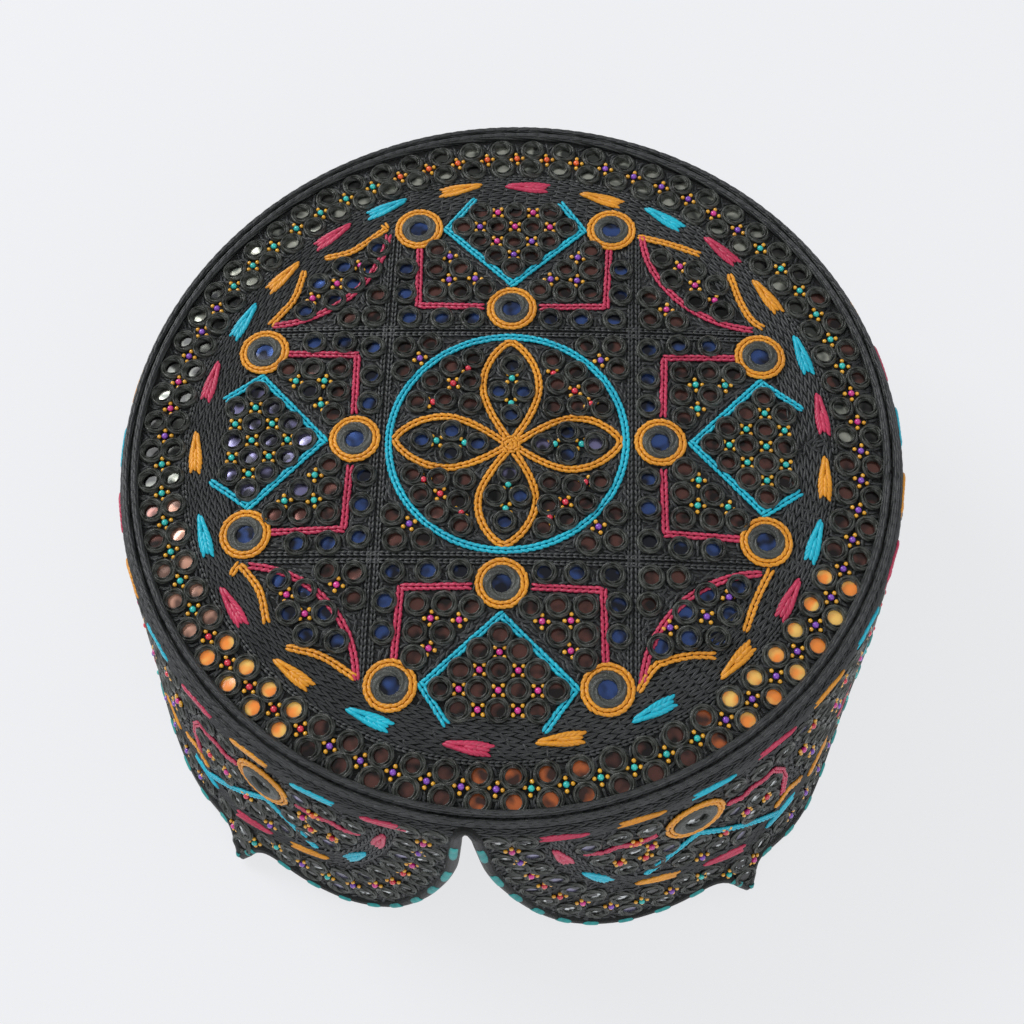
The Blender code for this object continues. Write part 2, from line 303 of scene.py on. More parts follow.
def groundMaterial():
    # Black cotton worked solid with rows of stem stitch: fine slanting grains about 2 mm long in rows
    # 1.2 mm apart. Their colour follows their relief as painted shade: charcoal on their backs and painted
    # black in the furrows. UV is in metres along the cloth.
    rowPitch, grainLength, wander = 0.0012, 0.0021, 0.0016
    material, tree, shader = startMaterial("stemStitchedBlackCotton", "#222325", 0.60,
                                           {"Sheen Weight": 0.05, "Specular IOR Level": 0.4})
    coords = addNode(tree, "UVMap")
    drift = addNode(tree, "TexNoise", {"Scale": 160.0, "Detail": 1.0}, {"Vector": coords})
    shove = addNode(tree, "VectorMath", {"operation": "SCALE", "Scale": wander}, {0: drift.outputs["Color"]})
    moved = addNode(tree, "VectorMath", {"operation": "ADD"}, {0: coords, 1: shove})
    split = addNode(tree, "SeparateXYZ", None, {0: moved})
    row = addNode(tree, "Math", {"operation": "MULTIPLY", 1: 1 / rowPitch}, {0: split.outputs[1]})
    rowNumber = addNode(tree, "Math", {"operation": "FLOOR"}, {0: row})
    across = addNode(tree, "Math", {"operation": "PINGPONG", 1: 0.5}, {0: row})
    length = addNode(tree, "Math", {"operation": "MULTIPLY_ADD", 1: 1 / grainLength},
                     {0: split, 2: rowNumber})
    slant = addNode(tree, "Math", {"operation": "MULTIPLY_ADD", 1: 0.6}, {0: row, 2: length})
    along = addNode(tree, "Math", {"operation": "PINGPONG", 1: 0.5}, {0: slant})
    grain = addNode(tree, "Math", {"operation": "MULTIPLY", "use_clamp": True}, {0: across, 1: along})
    rise = addNode(tree, "Math", {"operation": "POWER", 1: 0.5}, {0: grain})
    # the tone is the grains' height: painted shade in the furrows, painted light on the backs
    tone = addNode(tree, "Math", {"operation": "MULTIPLY", 1: 1.8, "use_clamp": True}, {0: rise})
    finishSurface(tree, shader, tone, "#070708", "#2E3032", rise, 1.0, 0.0007)
    return material


def mirrorMaterial(name, low, high, metallic=0.7, spread=(0.40, 0.60), size=300.0):
    # Thin silvered glass cut by hand, deep in its ring: a clear, slightly wavy reflection from its metal and
    # coat, and a painted reflection in its colour, in random patches between a dark tone for the black ring
    # and a light tone for what it faces
    material, tree, shader = startMaterial(name, high, 0.20, {"Metallic": metallic, "Coat Weight": 0.3,
                                                              "Coat Roughness": 0.05})
    place = addNode(tree, "TexCoord").outputs["Object"]
    cloud = addNode(tree, "TexNoise", {"Scale": size, "Detail": 1.0}, {"Vector": place})
    sharp = addNode(tree, "MapRange", {"From Min": spread[0], "From Max": spread[1]}, {"Value": cloud})
    ripple = addNode(tree, "TexNoise", {"Scale": 260.0, "Detail": 0.0}, {"Vector": place})
    finishSurface(tree, shader, sharp, low, high, ripple, 0.4, 0.0010)
    return material


def beadMaterial(name, low, high):
    # Pressed glass seed bead, fire-polished: saturated body colour under a sharp small highlight
    material, tree, shader = startMaterial(name, high, 0.22, {"Coat Weight": 0.7, "Coat Roughness": 0.06})
    place = addNode(tree, "TexCoord").outputs["Object"]
    cloud = addNode(tree, "TexNoise", {"Scale": 420.0, "Detail": 1.0}, {"Vector": place})
    finishSurface(tree, shader, cloud, low, high)
    return material


stemCotton = groundMaterial()
# the light tones of the black threads stand partly for their highlights: painted sheen
blackFloss = flossMaterial("blackStrandedCotton", "#090A0A", "#565A55", 0.32, 5, 4, 0.00040, sheen=0.0)
blackGrain = flossMaterial("blackStemStitch", "#0A0B0C", "#404344", 0.46, 3, 0.8, 0.00016, sheen=0.0)
blackCord = flossMaterial("blackTwistedCord", "#08090A", "#363939", 0.42, 60, 5, 0.00030, sheen=0.0)
bindingCotton = flossMaterial("blackBoundCotton", "#050606", "#1A1C1D", 0.42, 6, 90, 0.00030, sheen=0.0)
threads = {
    name: flossMaterial(name + "StrandedCotton", low, high, 0.40, 2, 3, 0.00008)
    for name, low, high in (("amber", "#C07A10", "#F0A428"), ("teal", "#0494AE", "#10C4DC"),
                            ("magenta", "#9C1E40", "#D23A60"))
}
bindingTeal = flossMaterial("tealSatinStitch", "#066A70", "#12A29E", 0.50, 2, 0.0, 0.00012)
# each tone is a painted reflection: the colour of what that glass mirrors, put into its base colour
mirrors = {
    "blue": mirrorMaterial("bluePaintedReflectionMirror", "#0D1220", "#304A82"),
    "brown": mirrorMaterial("brownPaintedReflectionMirror", "#181110", "#5E3A33"),
    "dark": mirrorMaterial("darkPaintedReflectionMirror", "#08090A", "#3E403C", 0.9),
    # dark glass with a painted white streak: painted highlight in small sharp patches
    "paintedStreak": mirrorMaterial("darkMirrorPaintedStreak", "#060708", "#C8CCCC", 0.7, (0.56, 0.60), 520.0),
    "pale": mirrorMaterial("palePaintedReflectionMirror", "#3A3E3A", "#A8AA9E", 0.85),
    # no metal here: the warm light this glass catches is a painted reflection in its colour
    "orange": mirrorMaterial("warmPaintedReflectionMirror", "#FF9236", "#FFCC68", 0.0),
    "peach": mirrorMaterial("peachPaintedReflectionMirror", "#6E5044", "#DCA48C", 0.35),
    "violet": mirrorMaterial("violetPaintedReflectionMirror", "#1A1B24", "#77749A"),
    "copper": mirrorMaterial("copperPaintedReflectionMirror", "#3A1C12", "#C8662E", 0.35),
}
beads = {
    name: beadMaterial(name + "SeedBead", low, high)
    for name, low, high in (("amber", "#C8860E", "#FFC236"), ("purple", "#5A2C96", "#9350CC"),
                            ("teal", "#0C9A98", "#26D0C8"), ("red", "#B01830", "#EE3850"),
                            ("magenta", "#A81C70", "#EC3CA4"), ("orange", "#C83E10", "#FA6A24"))
}
print("Materials ready")


# Shapes that repeat, modelled once

smallRing = {"middle": 2.22, "segments": 14, "lump": 0.07}
roundelRing = {"middle": 3.15, "segments": 24, "lump": 0.09}
# A ring's cross-section from its outer side over the top: across and up, in millimetres. A thick outer
# cord, a furrow, and a thin lip that holds the glass down.
ringProfile = [
    (0.76, 0.0), (0.66, 0.62), (0.28, 0.92), (-0.08, 0.50), (-0.28, 0.92), (-0.50, 0.62), (-0.50, -0.55),
    (0.56, -0.55),
]
roundelProfile = [
    (1.05, 0.0), (0.86, 0.55), (0.34, 0.88), (-0.30, 0.62), (-0.72, 0.80), (-1.02, 0.36), (-0.98, -0.45),
    (0.80, -0.45),
]


def makeCordRing(values, profile, name):
    startClean()
    sides = len(profile)
    bpy.ops.mesh.primitive_torus_add(
        major_segments=values["segments"], minor_segments=sides,
        major_radius=values["middle"] / 1000, minor_radius=0.0005)
    ring = justAdded(name)
    for i, vertex in enumerate(ring.data.vertices):
        across, up = profile[i % sides]
        wrap = values["lump"] if (i // sides) % 2 else 0.0  # every other wrap of the thread stands proud
        angle = 2 * pi * (i // sides) / values["segments"]
        radius = (values["middle"] + across * (1 + wrap)) / 1000
        vertex.co = (radius * cos(angle), radius * sin(angle), up * (1 + wrap) / 1000)
    shadeSmooth(ring)
    return ring


def makeGlass(radius, name):
    startClean()
    bpy.ops.mesh.primitive_cylinder_add(vertices=10, radius=radius / 1000, depth=0.0004,
                                        end_fill_type="TRIFAN")
    glass = justAdded(name)
    for vertex in glass.data.vertices:
        if vertex.co.xy.length < 1e-5 and vertex.co.z > 0:
            vertex.co.z += 0.00008  # hand-cut glass is never quite flat
    shadeSmooth(glass, 40)
    return glass


def makeBead(radius, name):
    startClean()
    bpy.ops.mesh.primitive_uv_sphere_add(segments=7, ring_count=5, radius=radius / 1000)
    bead = justAdded(name)
    bpy.ops.transform.resize(value=(1, 1, 0.88))
    bpy.ops.object.transform_apply(location=False, rotation=False, scale=True)
    shadeSmooth(bead)
    return bead


def makeGrain(length, width, segments, rings, name):
    # one short strand of thread, plump in the middle
    startClean()
    bpy.ops.mesh.primitive_uv_sphere_add(segments=segments, ring_count=rings, radius=1.0)
    grain = justAdded(name)
    bpy.ops.transform.rotate(value=pi / 2, orient_axis="Y", center_override=(0, 0, 0))
    bpy.ops.transform.resize(value=(length / 2000, width / 2000, width / 2200))
    bpy.ops.object.transform_apply(location=False, rotation=True, scale=True)
    shadeSmooth(grain)
    return grain


def makeStitch(strand, places, name):
    # a stitch of several strands
    stitch = copiesOf(strand, places, name)
    discard(strand)
    return stitch


chainLink = {"strand": 2.3, "width": 0.86, "apart": 0.44, "lean": 0.17}


def makeLink(name):
    # one loop of chain stitch drawn tight: two plump strands side by side that close to a point
    strand = makeGrain(chainLink["strand"], chainLink["width"], 6, 4, name + "Strand")
    return makeStitch(strand, [Matrix.Translation((0, side * chainLink["apart"] / 1000, 0)) @
                               spun(side * chainLink["lean"]) for side in (1, -1)], name)


leafMark = {"strand": 3.7, "width": 1.15, "front": 5.2, "step": 1.15, "noseSide": 0.20, "stagger": 0.5,
            "tailSides": (0.50, 0.90, 1.20, 1.40, 1.45, 1.35, 1.15), "reach": 0.94, "middle": (-1.0, -3.0)}


def makeLeafMark(name):
    # a leaf in fishbone stitch: pairs of slanting satin strands that meet on the middle line, pointed at
    # the head and parted at the tails
    strand = makeGrain(leafMark["strand"], leafMark["width"], 5, 5, name + "Strand")
    places = []
    for k, tailSide in enumerate(leafMark["tailSides"]):
        front = leafMark["front"] - leafMark["step"] * k
        for side in (1, -1):
            nose = Vector((front - (leafMark["stagger"] if side < 0 else 0.0), side * leafMark["noseSide"]))
            tail = Vector((nose.x - leafMark["strand"] * leafMark["reach"], side * tailSide))
            middle = (nose + tail) / 2000
            way = nose - tail
            place = Matrix.Translation((middle.x, middle.y, -0.00005 * k))
            places.append(place @ spun(atan2(way.y, way.x)))
    places += [Matrix.Translation((x / 1000, 0, -0.0001)) for x in leafMark["middle"]]
    return makeStitch(strand, places, name)


ringShape = makeCordRing(smallRing, ringProfile, "ringShape")
roundelShape = makeCordRing(roundelRing, roundelProfile, "roundelShape")
glassShape = makeGlass(1.95, "glassShape")
roundelGlass = makeGlass(2.45, "roundelGlass")
smallBead = makeBead(0.52, "smallBead")
largeBead = makeBead(0.76, "largeBead")
linkShape = makeLink("linkShape")
stemStitch = {"length": 3.8, "width": 0.70, "sides": 4, "rings": 4}
grainShape = makeGrain(*stemStitch.values(), "grainShape")
markShape = makeLeafMark("markShape")
print("Repeated shapes ready")


# Ground cloth of the crown and the wall

crownCloth = {"around": 144, "rings": 30, "thickness": 1.5, "fieldEdge": 62.0}
wallCloth = {"rows": 22, "thickness": 1.0, "tuck": 1.5}
rim = {"pull": 1.2, "spacing": 1.6, "inset": 0.55}  # the curve's pull, and how far apart its points are


def surfaceFrom(name, columns, rows, placeOf, mapOf, thickness):
    # a grid laid on the cap's surface, closed at its seam, with a map in metres along the cloth
    startClean()
    bpy.ops.mesh.primitive_grid_add(x_subdivisions=columns, y_subdivisions=rows, size=1)
    cloth = justAdded(name)
    wide = columns + 1
    for i, vertex in enumerate(cloth.data.vertices):
        vertex.co = placeOf(i % wide, i // wide)
    layer = cloth.data.uv_layers.active
    for loop in cloth.data.loops:
        layer.data[loop.index].uv = mapOf(loop.vertex_index % wide, loop.vertex_index // wide)
    pick(cloth)
    bpy.ops.object.mode_set(mode="EDIT")
    bpy.ops.mesh.select_all(action="SELECT")
    bpy.ops.mesh.remove_doubles(threshold=0.00002)
    bpy.ops.mesh.normals_make_consistent(inside=False)
    bpy.ops.object.mode_set(mode="OBJECT")
    solid = cloth.modifiers.new("Thickness", "SOLIDIFY")
    solid.thickness = thickness / 1000
    solid.offset = -1
    bpy.ops.object.modifier_apply(modifier=solid.name)
    shadeSmooth(cloth, 50)
    return cloth


def crownPlace(i, j):
    angle = 2 * pi * (i % crownCloth["around"]) / crownCloth["around"]
    radius = cap["crownRadius"] * (j / crownCloth["rings"]) if j else 0.0
    bend = cap["domeRise"] / cap["crownRadius"] ** 2
    return Vector((radius * cos(angle), radius * sin(angle) + cap["shiftY"],
                   cap["height"] - cap["crownSink"] - bend * radius * radius)) / 1000


def crownMap(i, j):
    angle = 2 * pi * i / crownCloth["around"]
    radius = cap["crownRadius"] * (j / crownCloth["rings"])
    if radius > crownCloth["fieldEdge"]:
        return angle * radius / 1000, radius / 1000  # rows run round the edge
    return radius * cos(angle) / 1000, radius * sin(angle) / 1000


def rimLine():
    # the rim of one side on the flattened wall, in millimetres
    knots = [Vector((turn * mmPerDegree, share * wallLength)) for turn, share in rimKnots]
    points = []
    for i in range(len(knots) - 1):
        a, b = knots[i], knots[i + 1]
        before = knots[i - 1] if i else Vector((-knots[1].x, knots[1].y))
        after = knots[i + 2] if i + 2 < len(knots) else b + (b - a)
        chord = (b - a).length
        start, end = (b - before) / 2, (after - a) / 2
        start = start.normalized() * min(start.length, rim["pull"] * chord)
        end = end.normalized() * min(end.length, rim["pull"] * chord)
        count = max(4, round(chord / rim["spacing"]))
        for k in range(count):
            t = k / count
            if a.y == b.y:
                points.append(a.lerp(b, t))
            else:
                points.append(a * (2 * t ** 3 - 3 * t ** 2 + 1) + start * (t ** 3 - 2 * t ** 2 + t)
                              + b * (3 * t ** 2 - 2 * t ** 3) + end * (t ** 3 - t ** 2))
    points.append(knots[-1])
    return points


def insetRim(distance):
    # the rim moved into the cloth, without the places where it would fold over itself
    half = rimLine()
    line = [Vector((-p.x, p.y)) for p in half[30:0:-1]] + half
    kept = []
    for i in range(1, len(line) - 1):
        before = (line[i] - line[i - 1]).normalized()
        after = (line[i + 1] - line[i]).normalized()
        for share in (0.2, 0.5, 0.8):
            way = before.lerp(after, share).normalized()
            point = line[i] + Vector((way.y, -way.x)) * distance
            near = min((point - q).length for q in line[max(0, i - 40):i + 40])
            if point.x > 0.02 and near > distance * 0.985:
                kept.append(point)
    kept.sort(key=lambda p: p.x)
    spaced = [Vector((0.0, half[0].y - distance))]
    for point in kept:
        if (point - spaced[-1]).length > rim["inset"]:
            spaced.append(point)
    last = Vector((half[-1].x, half[-1].y - distance))
    return [p for p in spaced if p.x < last.x - 0.5] + [last]


def bothSides(half):
    lap = 2 * half[-1].x
    return half + [Vector((lap - p.x, p.y)) for p in half[-2:0:-1]]


wallEdge = bothSides(insetRim(wallCloth["tuck"]))


def wallPlace(i, j):
    edge = wallEdge[i % len(wallEdge)]
    return wallSpot(edge.x / mmPerDegree, edge.y * j / wallCloth["rows"])


def wallMap(i, j):
    edge = wallEdge[i % len(wallEdge)]
    return edge.x / 1000, edge.y * j / wallCloth["rows"] / 1000


crown = surfaceFrom("crownCloth", crownCloth["around"], crownCloth["rings"], crownPlace, crownMap,
                    crownCloth["thickness"])
dress(crown, stemCotton, "crown_cloth", "crown_panel")
wall = surfaceFrom("wallCloth", len(wallEdge), wallCloth["rows"], wallPlace, wallMap,
                   wallCloth["thickness"])
dress(wall, stemCotton, "wall_cloth", "side_wall")
print("Cloth laid:", len(crown.data.polygons), len(wall.data.polygons))


# Piping and binding

# stitchStep is a share of a stitch's length
piping = {"cord": 0.75, "spacing": 1.8, "around": 200, "stitchStep": 0.72, "stitchAngles": (-50, -5, 40)}
binding = {
    "radius": 1.45, "sides": 4, "satin": 1.05, "proud": 0.66, "taper": 0.3, "spacing": 0.35,
    # place from the arch's point and length of the long dashes, and then the pitch up to the last one
    "firstDashes": [(12.7, 8.0), (28.7, 7.2), (40.5, 5.8), (51.1, 5.0), (60.3, 4.4), (67.6, 4.0),
                    (75.8, 4.0)], "pitch": 9.0, "last": 330,
    "dash": 4.2, "tipTurns": (32.6, 37.4), "tipPitch": 2.3, "tipDash": 1.3,
}


def makePiping():
    # two cords round the crown, each with three rows of overlapping black stitches along it
    for name, node, reach in (("innerPiping", "piping_inner", 0.0),
                              ("outerPiping", "piping_outer", piping["spacing"])):
        centre = wallSpot(0, reach, piping["cord"] + cap["wallSink"]) * 1000
        ringRadius = -centre.y + cap["shiftY"]
        startClean()
        bpy.ops.mesh.primitive_torus_add(
            major_segments=piping["around"], minor_segments=8, minor_radius=piping["cord"] / 1000,
            major_radius=ringRadius / 1000, location=(0, cap["shiftY"] / 1000, centre.z / 1000))
        cord = justAdded(name)
        bpy.ops.object.transform_apply(location=True, rotation=False, scale=False)
        shadeSmooth(cord)
        rows = []
        shift = Matrix.Translation((0, cap["shiftY"] / 1000, 0))
        for number, lean in enumerate(piping["stitchAngles"]):
            out = radians(45 - lean)
            radius = ringRadius + piping["cord"] * cos(out)
            height = centre.z + piping["cord"] * sin(out)
            step = degrees(piping["stitchStep"] * stemStitch["length"] / radius)
            for k in range(int(360 / step)):
                turn = radians(k * step + number * step / 3 + jitter(0.1))
                rows.append(shift @ (spun(turn) @ Matrix.Translation((radius / 1000, 0, height / 1000)) @
                                     spun(-out, "Y") @ spun(pi / 2 + jitter(0.1), "X") @ spun(pi / 2, "Y")))
        lay(grainShape, rows, name + "Stitches", blackGrain, "piping")
        dress(cord, blackCord, "piping", node)


def tubeAlong(name, runs, radius, closed, sizes=None):
    # a round roll along runs of points, with its thickness at each point where sizes are given
    curve = bpy.data.curves.new(name, "CURVE")
    curve.dimensions = "3D"
    curve.bevel_depth = radius / 1000
    curve.bevel_resolution = binding["sides"]
    curve.use_fill_caps = True
    for run in runs:
        spline = curve.splines.new("POLY")
        spline.points.add(len(run) - 1)
        for k, (knot, point) in enumerate(zip(spline.points, run)):
            knot.co = (*point, 1.0)
            knot.radius = sizes[len(curve.splines) - 1][k] if sizes else 1.0
        spline.use_cyclic_u = closed
    roll = bpy.data.objects.new(name, curve)
    bpy.context.collection.objects.link(roll)
    pick(roll)
    bpy.ops.object.convert(target="MESH")
    roll = bpy.context.object
    if not roll.data.uv_layers:
        roll.data.uv_layers.new(name="UVMap")
    shadeSmooth(roll, 60)
    return roll


def onBinding(p, proud=0.0):
    # a place of the flattened wall, in the middle of the binding or proud of it
    return wallSpot(p.x / mmPerDegree, p.y, cap["wallSink"] - cap["cloth"] / 2 + proud)


def makeBinding():
    half = insetRim(cap["binding"] / 2)
    roll = tubeAlong("rimBinding", [[onBinding(p) for p in bothSides(half)]], binding["radius"], True)
    dress(roll, bindingCotton, "binding", "rim_binding")
    # satin dashes laid along the roll's outer face, long ones at the arch
    wanted = list(binding["firstDashes"])
    while wanted[-1][0] < binding["last"]:
        wanted.append((wanted[-1][0] + binding["pitch"], binding["dash"]))
    places = [wallSpot(p.x / mmPerDegree, p.y) for p in half]
    steps = [(b - a).length * 1000 for a, b in zip(places, places[1:])]
    # at the pinched corners the dashes become close stripes
    ends, gone = [], 0.0
    for q, step in zip(half[1:], steps):
        gone += step
        if binding["tipTurns"][0] < q.x / mmPerDegree < binding["tipTurns"][1]:
            ends.append(gone)
    wanted = [w for w in wanted if not ends[0] - 3 < w[0] < ends[-1] + 3]
    wanted += [(ends[0] + k * binding["tipPitch"], binding["tipDash"])
               for k in range(int((ends[-1] - ends[0]) / binding["tipPitch"]) + 1)]
    runs = [[] for _ in wanted]
    gone = 0.0
    for p, q, step in zip(half, half[1:], steps):
        pieces = max(1, round(step / binding["spacing"]))
        for k in range(pieces):
            here = gone + step * k / pieces
            for run, (centre, long) in zip(runs, wanted):
                if abs(here - centre) < long / 2:
                    run.append((p.lerp(q, k / pieces), (here - centre) / long * 2))
        gone += step
    runs = [run for run in runs if len(run) > 3]
    sizes = [[max(0.80, 1 - t ** 6 * binding["taper"]) for _, t in run] for run in runs]
    for side, name in ((1, "tealDashesRight"), (-1, "tealDashesLeft")):
        lines = [[onBinding(Vector((side * p.x, p.y)), binding["proud"]) for p, _ in run] for run in runs]
        dress(tubeAlong(name, lines, binding["satin"], False, sizes), bindingTeal, "teal_thread")


makePiping()
makeBinding()
print("Piping and binding done")


# Crown embroidery. Tables hold places in millimetres on the embroidery square.

crownWork = {
    "ringLift": 0.50, "glassLift": 0.00, "warmLift": 0.35, "flowerGrow": 0.92, "fieldGrow": 0.97,
    "linkPitch": 1.5, "linkLift": 0.50, "circle": 26.4, "grid": 28.15, "gridEnd": 57.0, "gridGap": 0.85,
    "borderFrom": 73, "borderLine": 72.7, "outerRow": 80.8, "innerRow": 75.3, "middleRow": 78.1,
    "borderCount": 68, "borderStart": 2.5, "borderDrift": 1.5, "borderSway": 0.4,
    "bandRows": 13, "bandStart": 63.2, "bandStep": 0.7, "groundEdge": 82.9, "groundPitch": 1.2,
}
roundelPlaces = [(0, 34.0), (-22.8, 56.7), (22.8, 56.7)]
petal = [
    (0.8, 1.7), (3.2, 5.4), (5.3, 9.6), (6.3, 13.8), (5.6, 18.4), (3.2, 22.6), (0, 25.0), (-3.2, 22.6),
    (-5.6, 18.4), (-6.3, 13.8), (-5.3, 9.6), (-3.2, 5.4), (-0.8, 1.7),
]
bracket = [(-22.3, 50.6), (-21.7, 35.0), (-5.9, 34.6)]
diamond = [(-10.3, 65.2), (-16.2, 56.6), (0, 41.0), (16.2, 56.6), (10.3, 65.2)]
cornerArc = [(57 - 27 * cos(radians(a)), 57 - 27 * sin(radians(a))) for a in range(5, 86, 5)]
amberArcs = [
    [(30.0, 55.0), (36.4, 53.3), (42.9, 50.9)], [(50.7, 44.4), (52.8, 37.5), (55.2, 32.8), (58.0, 30.7)],
    [(-43.9, 49.0), (-38.5, 50.6), (-32.5, 55.6), (-30.8, 57.3), (-31.8, 58.6)],
    [(-49.6, 44.4), (-51.0, 37.8), (-53.6, 33.6), (-55.9, 30.6)],
    [(-58.6, -31.4), (-57.5, -29.9), (-55.6, -31.6), (-52.2, -36.2), (-50.3, -42.8)],
    [(-44.6, -48.6), (-37.8, -50.4), (-30.6, -54.8)],
    [(29.6, -56.2), (33.0, -51.2), (39.5, -48.9), (45.2, -48.6)],
    [(52.0, -42.2), (54.2, -36.0), (57.4, -29.4)],
]
# Mirrors of one quarter, repeated round the square, and those of the corner fields
petalMirrors = [(0, 7.2), (-2.75, 12.9), (2.75, 12.9), (0.2, 19.3)]
flowerShift = (0.9, -1.3)  # the flower's knot was worked a little off the circle's middle
quadrantMirrors = [
    (9.6, 20.6), (20.8, 8.5), (14.9, 17.6), (18.7, 13.4), (10.5, 14.6), (15.2, 9.2), (9.6, 9.1),
]
squareMirrors = [(17.4, 24.2), (23.6, 24.2), (24.5, 18.4)]
cellMirrorsOut = [(9.0, 31.3), (16.0, 31.3), (23.6, 31.5), (25.0, 38.2), (25.1, 45.2)]
cellMirrorsIn = [(6.3, 39.3), (12.1, 38.7), (18.0, 38.8), (12.3, 45.2), (18.1, 45.0), (18.1, 50.6)]
diamondMirrors = [
    (0, 45.4), (4.2, 48.9), (-4.2, 48.9), (0, 53.0), (8.1, 53.2), (-8.1, 53.2), (4.2, 57.3), (-4.2, 57.3),
    (12.2, 57.2), (-12.2, 57.2), (0, 61.6), (8.3, 61.6), (-8.3, 61.6),
]
cornerMirrorsOut = [(31.6, 37.7), (31.9, 31.9), (37.9, 31.4)]
cornerMirrorsFar = [(34.5, 48.9), (48.3, 34.6), (36.9, 43.0), (42.4, 37.2), (42.4, 45.8), (47.3, 41.8)]
cornerMirrorsFarLeft = [
    (-32.1, 51.3), (-40.1, 46.0), (-33.6, 45.4), (-45.6, 41.4), (-37.3, 41.2), (-41.5, 36.6),
    (-48.1, 33.8),
]
cornerMirrorsLeft = [
    (-34.7, -47.1), (-41.5, -45.8), (-37.7, -40.9), (-45.6, -40.9), (-42.4, -35.9), (-48.3, -33.5),
]
cornerMirrorsRight = [
    (33.8, -47.1), (39.8, -45.1), (45.9, -44.9), (39.0, -39.4), (48.6, -39.4), (43.7, -35.3),
    (50.5, -33.2),
]
quarterFlowers = [(0, 10.0), (0.2, 16.1), (9.7, 17.2), (14.5, 12.9), (18.3, 9.6), (20.6, 20.5)]
cellFlowers = [(8.8, 42.3), (14.9, 42.0), (15.0, 48.6)]
diamondFlowers = [
    (0, 49.2), (4.1, 53.1), (-4.1, 53.1), (0, 57.4), (8.3, 57.3), (-8.3, 57.3), (4.2, 61.6), (-4.2, 61.6),
]
cornerFlowers = [
    (38.9, 46.8), (42.3, 41.6), (46.8, 37.6), (35.6, 34.6), (-36.1, 46.3), (-41.2, 41.3), (-46.7, 37.3),
    (-46.3, -36.8), (-42.0, -41.1), (-35.6, -34.6), (35.8, -42.9), (43.6, -40.2), (48.4, -35.7),
]
ringReach = 2.75  # a small ring's outer edge, kept clear of the ground stitches
# Leaf marks of the border band: angle clockwise from the far side, and thread
borderMarks = [
    (2, 69.5, "magenta"), (17, 69.2, "amber"), (30, 70.3, "teal"), (43, 71.2, "magenta"),
    (56, 70.9, "amber"), (70, 70.6, "teal"), (82.6, 70.6, "magenta"), (95.5, 70.5, "amber"),
    (108, 70.9, "teal"), (120, 70.9, "magenta"), (135, 70.3, "amber"), (152, 68.9, "teal"),
    (169, 68.7, "amber"), (185, 69.6, "magenta"), (203, 69.1, "teal"), (219, 69.6, "amber"),
    (236, 70.1, "magenta"), (251, 69.8, "teal"), (268, 70.1, "amber"), (283, 70.1, "magenta"),
    (297, 69.9, "teal"), (309, 69.7, "amber"), (322, 70.3, "magenta"), (334, 70.5, "teal"),
    (349, 70.1, "amber"),
]


def roundTheCap(x, y):
    # distance from the crown's middle, and degrees clockwise from the far side
    return hypot(x, y), degrees(atan2(x, y)) % 360


def toneAt(clock, tones):
    return next(tone for limit, tone in tones if clock < limit)


def paintedReflectionTone(x, y):
    # the painted reflection of each small mirror of the crown, by where it lies: the border goes by the
    # clock, and inside it the cross of the petals, the corner fields and the left edge have tones of their
    # own
    radius, clock = roundTheCap(x, y)
    if radius > crownWork["borderFrom"]:
        inner = radius < crownWork["middleRow"]
        tone = toneAt(clock, (
            (46, "pale"), (58, "dark"), (74, "pale" if inner else "brown"), (78, "brown"),
            (89, "pale" if inner else "dark"), (110, "brown"), (142, "orange"), (148, "copper"),
            (165, "brown"), (185, "copper"), (212, "brown"), (234, "orange"), (250, "peach"),
            (262, "peach" if inner else "brown"), (316, "dark"), (360, "pale")))
        other = {"pale": "dark", "dark": "pale", "copper": "brown"}
        return tone if dice.random() < 0.8 else other.get(tone, tone)
    if radius < 28.5 and min(abs(x), abs(y)) < 6.5:
        return ("blue", "blue", "blue", "violet", "dark")[int(dice.random() * 5)]
    if min(abs(x), abs(y)) > 28:
        if min(x, y) > 0:
            return "pale" if dice.random() < 0.6 else "dark"
        return "blue"
    return "violet" if x < -44 and abs(y) < 13 else "brown"


def flowerTone(x, y):
    # the middle bead of each bead flower
    radius, clock = roundTheCap(x, y)
    if radius > crownWork["borderFrom"]:
        return toneAt(clock, (
            (11, "orange"), (33, "purple"), (38, "magenta"), (45, "purple"), (76, "teal"), (86, "magenta"),
            (145, "purple"), (178, "teal"), (210, "purple"), (239, "red"), (269, "teal"), (274, "purple"),
            (284, "magenta"), (301, "purple"), (335, "teal"), (360, "orange")))
    if radius < 25 and min(abs(x), abs(y)) < 3:
        return "teal"
    if max(abs(x), abs(y)) < 28:
        return "purple" if radius > 26 else "red"
    if min(abs(x), abs(y)) > 28:
        return "purple" if x > 0 > y else "magenta"
    if abs(y) > abs(x):
        return "magenta" if y < 0 or dice.random() < 0.4 else "purple"
    return "teal"


def mirrorSet(spot, entries, name, lifts, stretch=1.0, grow=1.0):
    # rings of black thread with a piece of mirror glass in each; an entry is a, b and the tone of the
    # glass's painted reflection, and lifts are the ring's lift, the glass's lift and the ring's share of its
    # full height
    ringPlaces, glassPlaces = [], {}
    for a, b, tone in entries:
        cover(spot, a, b, ringReach)
        spin = dice.uniform(0, 6.28)
        size = grow * dice.uniform(0.96, 1.03)
        shape = Matrix.Diagonal((size, size * stretch, lifts[2], 1))
        ringPlaces.append(frameAt(spot, a, b, 1.0, 0.0, lifts[0]) @ shape @ spun(spin))
        tilt = spun(jitter(0.07), "X") @ spun(jitter(0.07), "Y")
        lift = lifts[1] + (crownWork["warmLift"] if tone == "orange" else 0.0)  # these catch the light
        glassPlaces.setdefault(tone, []).append(frameAt(spot, a, b, 1.0, 0.0, lift) @ shape @ tilt)
    lay(ringShape, ringPlaces, name + "Rings", blackFloss, groundSlot[spot])
    for tone, places in glassPlaces.items():
        lay(glassShape, places, name + tone.capitalize() + "Glass", mirrors[tone], "mirror")


